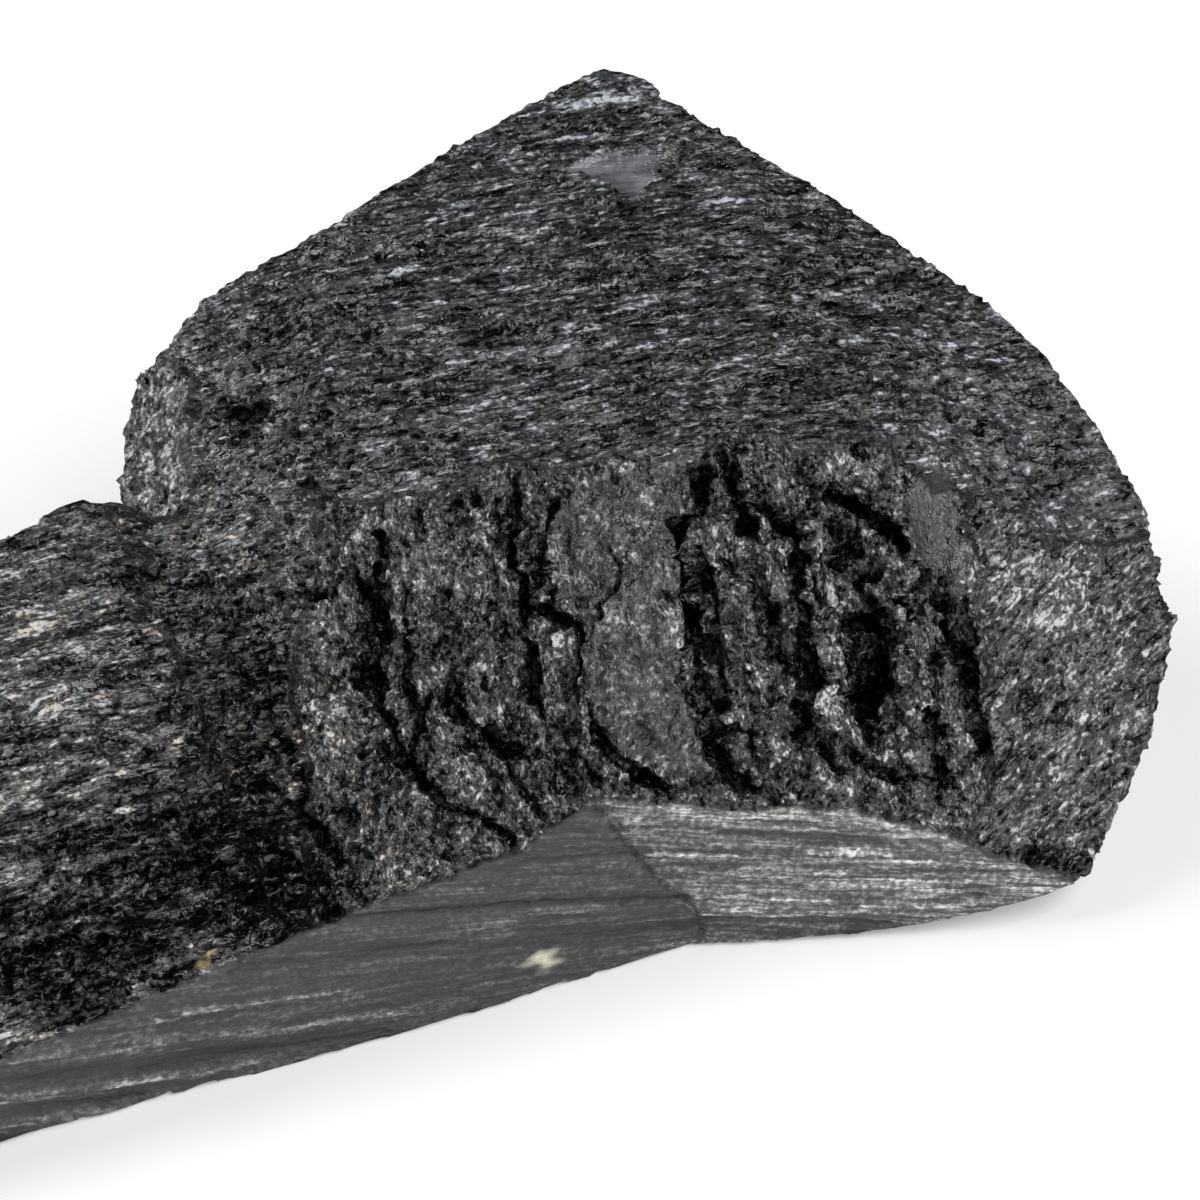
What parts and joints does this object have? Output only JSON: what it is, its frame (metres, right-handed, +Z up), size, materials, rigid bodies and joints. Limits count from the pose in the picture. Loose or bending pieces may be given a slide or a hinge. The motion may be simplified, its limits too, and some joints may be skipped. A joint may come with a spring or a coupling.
{
  "type": "tourmaline crystal",
  "caption": "Rough black tourmaline specimen: a rounded triangular head and a longer prismatic arm grown together, with striated sides and a cracked, fractured front.",
  "frame": {"origin": "middle of the space the specimen takes, at the height of the surface it lies on", "axes": "+X along the arm crystal from its broken end towards the head, +Y from the striated, fractured front to the back, +Z up"},
  "size_m": [0.1063, 0.0526, 0.0345],
  "materials": {
    "schorl": "natural, half dull and half glassy"
  },
  "bodies": {
    "root": {"tourmaline_crystal": "schorl"}
  },
  "joints": []
}
